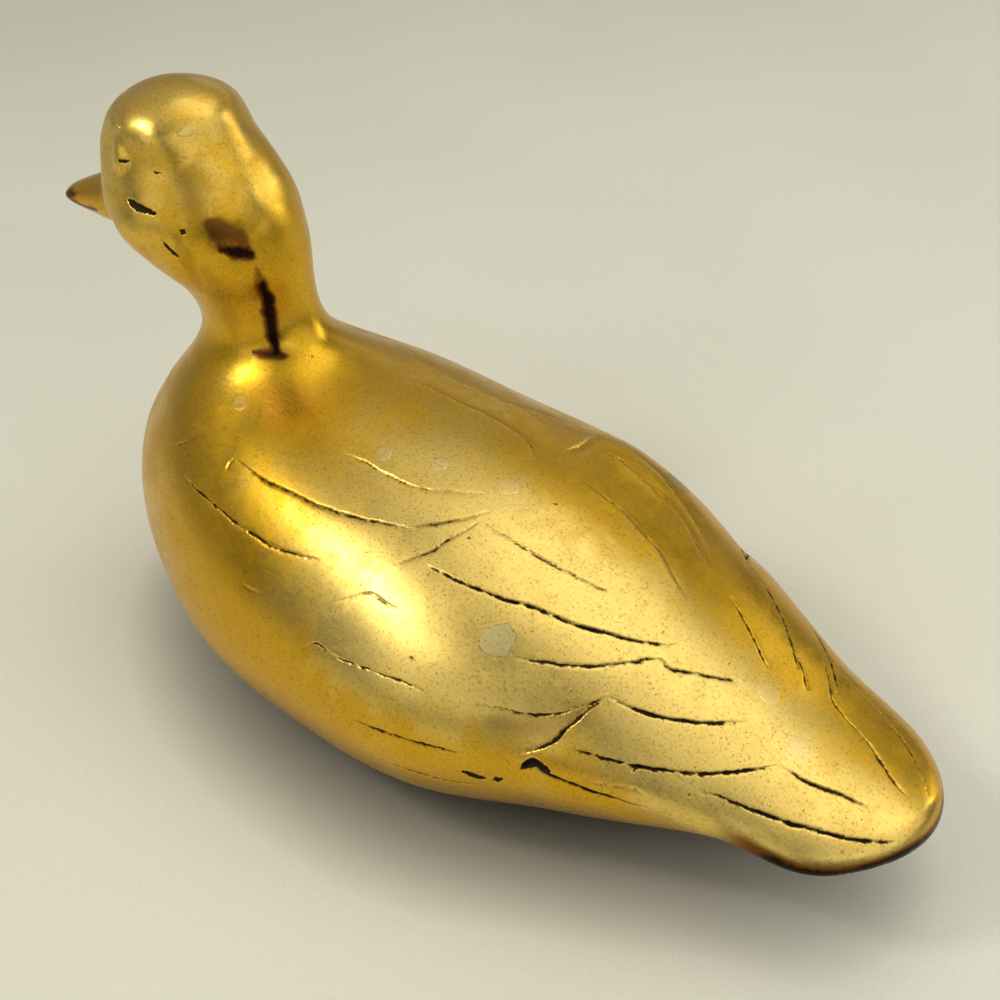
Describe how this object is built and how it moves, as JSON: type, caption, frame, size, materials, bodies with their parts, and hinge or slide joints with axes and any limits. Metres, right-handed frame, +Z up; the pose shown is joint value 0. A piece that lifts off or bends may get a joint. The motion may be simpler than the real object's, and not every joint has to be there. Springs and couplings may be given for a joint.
{
  "type": "duck figurine",
  "caption": "Hollow cast brass duck that stands on a flat belly, with folded wings, a short tail and its head turned slightly to its left.",
  "frame": {"origin": "middle of the flat face ground on the belly, where the duck stands", "axes": "+X along the body towards the breast, +Y to the duck's left, +Z up"},
  "size_m": [0.1965, 0.0894, 0.116],
  "materials": {
    "cast_brass": "cast, filed and polished brass with a worn olive patina, dark in the grooves",
    "plate_brass": "flat brass, ground and scratched",
    "braze": "brazing metal, filed flush, a little paler than the brass",
    "chaplet_brass": "filed flush, slightly duller than the casting",
    "chaplet_iron": "tinned iron, filed flush, a dull grey spot"
  },
  "bodies": {
    "root": {"body_casting": "cast_brass", "head_casting": "cast_brass", "neck_braze": "braze", "belly_plate": "plate_brass", "belly_braze": "braze", "core_plug": "plate_brass", "chaplet_left_wing": "chaplet_iron", "chaplet_back": "chaplet_brass", "chaplet_left_shoulder": "chaplet_brass", "chaplet_left_mantle_front": "chaplet_brass", "chaplet_left_mantle_rear": "chaplet_brass", "chaplet_rump": "chaplet_brass", "chaplet_left_tail": "chaplet_brass", "chaplet_right_wing": "chaplet_iron", "chaplet_right_shoulder": "chaplet_brass", "chaplet_crown": "chaplet_brass"}
  },
  "joints": []
}
